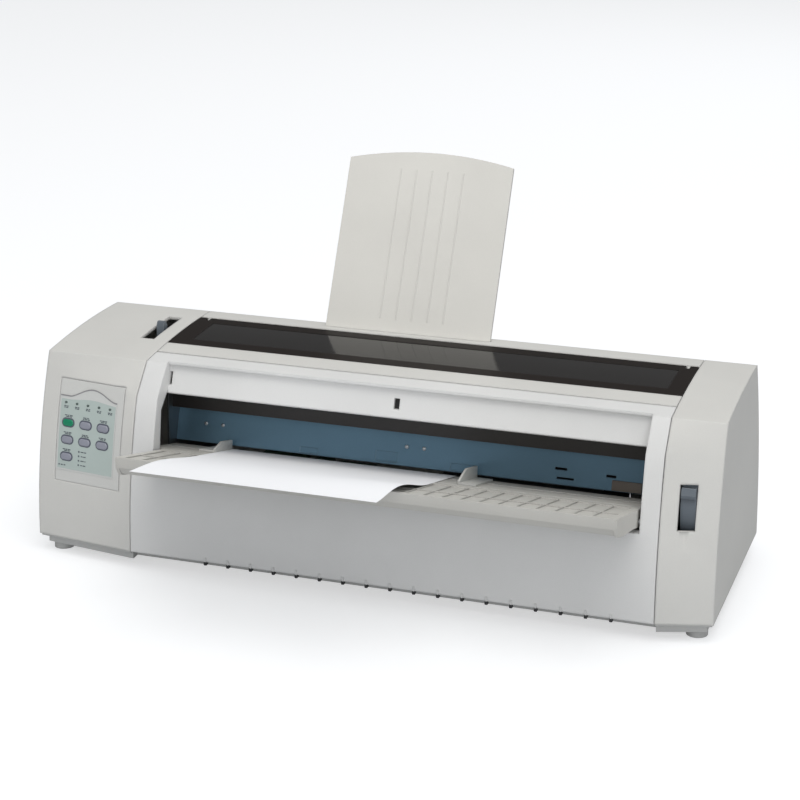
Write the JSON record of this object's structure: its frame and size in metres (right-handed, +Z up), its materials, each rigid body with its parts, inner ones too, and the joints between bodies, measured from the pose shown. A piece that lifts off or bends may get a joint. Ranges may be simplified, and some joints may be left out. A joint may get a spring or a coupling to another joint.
{
  "type": "dot matrix printer",
  "caption": "Wide dot matrix printer with a drop front, fold-up manual sheet tray, smoked top cover, operator panel and lift-off paper support.",
  "frame": {"origin": "centre of the part's outline on the ground, at the bottom of the rubber feet", "axes": "+X to the right along the printer's width, +Y towards its back, +Z up"},
  "size_m": [0.61, 0.375, 0.3378],
  "materials": {
    "casing": "fine textured ivory moulding",
    "front": "fine textured light grey moulding",
    "smoked": "smoked gloss",
    "panel": "satin overlay",
    "green_key": "satin",
    "grey_key": "satin",
    "lamp": "clear lens",
    "lever": "satin",
    "guide": "satin",
    "dark": "matte black",
    "plate": "blue grey coated steel",
    "steel": "zinc plated",
    "rubber": "matte",
    "paper": "uncoated paper",
    "gear": "natural acetal",
    "brass": "machined",
    "board": "solder resist"
  },
  "bodies": {
    "root": {"base_pan": "casing", "feet": "rubber", "left_casing": "casing", "right_casing": "casing", "top_bridge": "casing", "rear_cover": "casing", "cover_hinge_pins": "steel", "front_hinge_pins": "steel", "paper_deck": "dark", "upper_guide_plate": "plate", "tear_bar": "dark", "left_frame": "steel", "right_frame": "steel", "platen_bushes": "gear", "feed_motor": "dark", "tractor_rod": "steel", "carriage_rod": "steel", "carriage_motor": "dark", "carriage_belt": "rubber", "main_board": "board", "power_supply": "steel", "power_inlet": "dark", "screws": "steel", "panel_bezel": "panel", "panel_board": "board", "status_lights": "lamp"},
    "front_cover": {"front_cover": "front", "tray_hinge_pins": "steel", "paper_sheet": "paper"},
    "manual_tray": {"manual_tray": "casing"},
    "access_cover": {"access_cover": "smoked", "cover_window": "smoked"},
    "paper_support": {"paper_support": "casing"},
    "left_paper_guide": {"left_paper_guide": "guide"},
    "right_paper_guide": {"right_paper_guide": "guide"},
    "carriage": {"carriage": "dark", "print_head": "steel", "ribbon_cartridge": "dark"},
    "drive_pulley": {"drive_pulley": "gear"},
    "idler_pulley": {"idler_pulley": "gear"},
    "platen": {"platen_shaft": "steel", "platen_roller": "rubber", "platen_gear": "gear"},
    "motor_pinion": {"motor_pinion": "brass"},
    "tractor_drive": {"tractor_shaft": "steel", "tractor_gear": "gear"},
    "left_tractor": {"left_tractor": "dark"},
    "right_tractor": {"right_tractor": "dark"},
    "left_tractor_door": {"left_tractor_door": "dark"},
    "right_tractor_door": {"right_tractor_door": "dark"},
    "thickness_lever": {"thickness_lever": "lever"},
    "tractor_lever": {"tractor_lever": "lever"},
    "power_switch": {"power_switch": "dark"},
    "button_1": {"button_1": "green_key"},
    "button_2": {"button_2": "grey_key"},
    "button_3": {"button_3": "grey_key"},
    "button_4": {"button_4": "grey_key"},
    "button_5": {"button_5": "grey_key"},
    "button_6": {"button_6": "grey_key"},
    "button_7": {"button_7": "grey_key"}
  },
  "joints": [
    {"name": "front_cover_hinge", "type": "hinge", "parent": "root", "child": "front_cover", "pos_m": [0, -0.04532, 0.024], "axis": [1, 0, 0], "range_deg": [0, 35]},
    {"name": "tray_hinge", "type": "hinge", "parent": "front_cover", "child": "manual_tray", "pos_m": [0, -0.04782, 0.0975], "axis": [-1, 0, 0], "range_deg": [0, 89], "deforming": ["paper_sheet"]},
    {"name": "access_cover_hinge", "type": "hinge", "parent": "root", "child": "access_cover", "pos_m": [0, 0.09448, 0.1816], "axis": [-1, 0, 0], "range_deg": [0, 75]},
    {"name": "support_lift", "type": "slide", "parent": "root", "child": "paper_support", "axis": [0, 0.4384, 0.8988], "range_m": [0, 0.02]},
    {"name": "left_guide_slide", "type": "slide", "parent": "root", "child": "left_paper_guide", "axis": [1, 0, 0], "range_m": [-0.033, 0]},
    {"name": "right_guide_slide", "type": "slide", "parent": "root", "child": "right_paper_guide", "axis": [1, 0, 0], "range_m": [-0.014, 0.14]},
    {"name": "carriage_slide", "type": "slide", "parent": "root", "child": "carriage", "axis": [1, 0, 0], "range_m": [0, 0.318]},
    {"name": "drive_pulley_spin", "type": "hinge", "parent": "root", "child": "drive_pulley", "pos_m": [0.236, 0.07868, 0.146], "axis": [0, 0, 1], "range_deg": [-30, 2400]},
    {"name": "idler_pulley_spin", "type": "hinge", "parent": "root", "child": "idler_pulley", "pos_m": [-0.186, 0.07868, 0.146], "axis": [0, 0, 1], "range_deg": [-30, 2400]},
    {"name": "platen_spin", "type": "hinge", "parent": "root", "child": "platen", "pos_m": [0, 0.06268, 0.1], "axis": [1, 0, 0], "continuous": true},
    {"name": "motor_spin", "type": "hinge", "parent": "root", "child": "motor_pinion", "pos_m": [0, 0.08719, 0.07943], "axis": [1, 0, 0], "continuous": true},
    {"name": "tractor_spin", "type": "hinge", "parent": "root", "child": "tractor_drive", "pos_m": [0, 0.10915, 0.11202], "axis": [1, 0, 0], "continuous": true},
    {"name": "left_tractor_slide", "type": "slide", "parent": "root", "child": "left_tractor", "axis": [1, 0, 0], "range_m": [-0.06, 0.06]},
    {"name": "right_tractor_slide", "type": "slide", "parent": "root", "child": "right_tractor", "axis": [1, 0, 0], "range_m": [-0.06, 0.08]},
    {"name": "left_door_hinge", "type": "hinge", "parent": "left_tractor", "child": "left_tractor_door", "pos_m": [-0.1175, 0.10915, 0.13302], "axis": [0, -1, 0], "range_deg": [0, 85]},
    {"name": "right_door_hinge", "type": "hinge", "parent": "right_tractor", "child": "right_tractor_door", "pos_m": [0.1015, 0.10915, 0.13302], "axis": [0, 1, 0], "range_deg": [0, 85]},
    {"name": "thickness_lever_pivot", "type": "hinge", "parent": "root", "child": "thickness_lever", "pos_m": [0, 0.06018, 0.15], "axis": [1, 0, 0], "range_deg": [-24, 24]},
    {"name": "tractor_lever_pivot", "type": "hinge", "parent": "root", "child": "tractor_lever", "pos_m": [0, -0.00332, 0.108], "axis": [1, 0, 0], "range_deg": [0, 30]},
    {"name": "power_switch_rock", "type": "hinge", "parent": "root", "child": "power_switch", "pos_m": [0, 0.15068, 0.042], "axis": [1, 0, 0], "range_deg": [0, 9]},
    {"name": "button_1_press", "type": "slide", "parent": "root", "child": "button_1", "axis": [0.1313, 0.9693, -0.2079], "range_m": [0, 0.0009], "stiffness_N_per_m": 300, "springref_m": -0.0005},
    {"name": "button_2_press", "type": "slide", "parent": "root", "child": "button_2", "axis": [0.1313, 0.9693, -0.2079], "range_m": [0, 0.0009], "stiffness_N_per_m": 300, "springref_m": -0.0005},
    {"name": "button_3_press", "type": "slide", "parent": "root", "child": "button_3", "axis": [0.1313, 0.9693, -0.2079], "range_m": [0, 0.0009], "stiffness_N_per_m": 300, "springref_m": -0.0005},
    {"name": "button_4_press", "type": "slide", "parent": "root", "child": "button_4", "axis": [0.1313, 0.9693, -0.2079], "range_m": [0, 0.0009], "stiffness_N_per_m": 300, "springref_m": -0.0005},
    {"name": "button_5_press", "type": "slide", "parent": "root", "child": "button_5", "axis": [0.1313, 0.9693, -0.2079], "range_m": [0, 0.0009], "stiffness_N_per_m": 300, "springref_m": -0.0005},
    {"name": "button_6_press", "type": "slide", "parent": "root", "child": "button_6", "axis": [0.1313, 0.9693, -0.2079], "range_m": [0, 0.0009], "stiffness_N_per_m": 300, "springref_m": -0.0005},
    {"name": "button_7_press", "type": "slide", "parent": "root", "child": "button_7", "axis": [0.1313, 0.9693, -0.2079], "range_m": [0, 0.0009], "stiffness_N_per_m": 300, "springref_m": -0.0005}
  ],
  "couplings": [
    {"joint": "drive_pulley_spin", "follows": "carriage_slide", "rad_per_m": 125},
    {"joint": "idler_pulley_spin", "follows": "carriage_slide", "rad_per_m": 125},
    {"joint": "motor_spin", "follows": "platen_spin", "ratio": -3},
    {"joint": "tractor_spin", "follows": "platen_spin", "ratio": -1}
  ]
}
